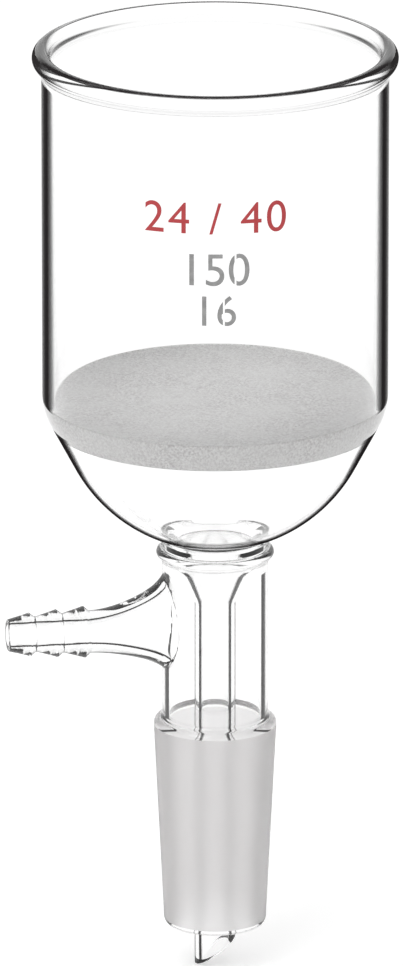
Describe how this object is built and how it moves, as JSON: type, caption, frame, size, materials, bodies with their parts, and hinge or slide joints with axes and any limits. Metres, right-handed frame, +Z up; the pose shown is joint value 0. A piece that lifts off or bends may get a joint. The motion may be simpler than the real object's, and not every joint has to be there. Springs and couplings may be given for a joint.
{
  "type": "fritted glass filter funnel",
  "caption": "Cylindrical glass funnel with a fused sintered disc, a vacuum side arm, a ground cone joint and a bevelled drip stem, for suction filtration.",
  "frame": {"origin": "on the funnel's axis, in the plane of the ground joint's large end", "axes": "+Z up the funnel's axis, -X along the vacuum side arm, +Y sideways"},
  "size_m": [0.0764, 0.0708, 0.1864],
  "materials": {
    "glass": "clear flame-polished borosilicate, ground matt on the joint",
    "frit": "matt sintered glass grains"
  },
  "bodies": {
    "root": {"glass_body": "glass", "frit_disc": "frit"}
  },
  "joints": []
}
